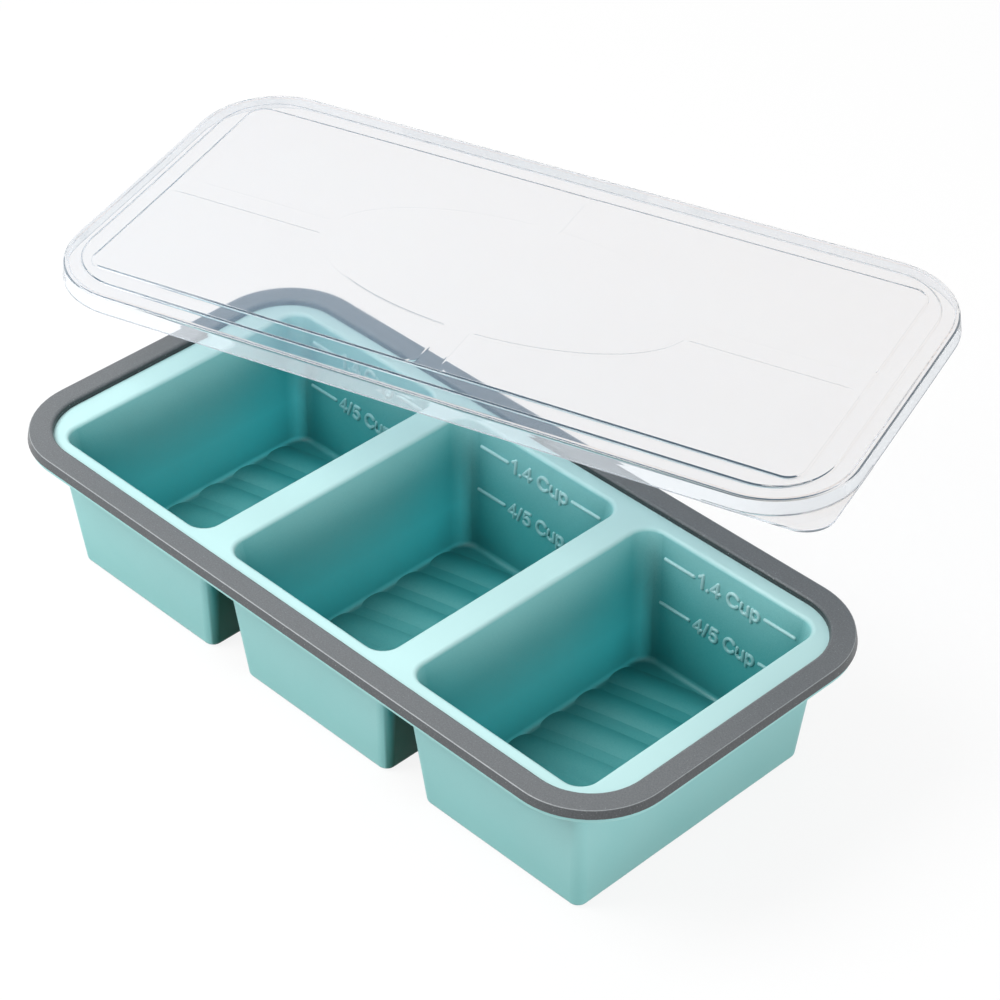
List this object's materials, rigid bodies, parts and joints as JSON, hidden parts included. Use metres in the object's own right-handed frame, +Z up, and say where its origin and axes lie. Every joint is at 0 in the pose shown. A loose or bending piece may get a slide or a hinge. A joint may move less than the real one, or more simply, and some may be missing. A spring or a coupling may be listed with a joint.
{
  "type": "baby food freezer tray",
  "caption": "Silicone freezer tray with deep portion wells, fluted floors and a steel-stiffened rim, under a clear lid that lifts off.",
  "frame": {"origin": "middle of the tray's underside, on the plane that the wells stand on", "axes": "+Z up out of the wells; +X along the row of wells; -Y towards the long side that the open tray shows to the front"},
  "size_m": [0.3328, 0.2427, 0.1184],
  "materials": {
    "teal_silicone": "satin",
    "grey_silicone": "satin",
    "steel_strip": "satin",
    "clear_plastic": "gloss"
  },
  "bodies": {
    "tray": {"tray_body": "teal_silicone", "rim_cover": "grey_silicone", "steel_frame": "steel_strip"},
    "lid": {"lid": "clear_plastic"}
  },
  "joints": [
    {"name": "lid_lift", "type": "slide", "parent": "tray", "child": "lid", "axis": [-0.3104, 0.7575, 0.5744], "range_m": [-0.084, 0.06]}
  ]
}
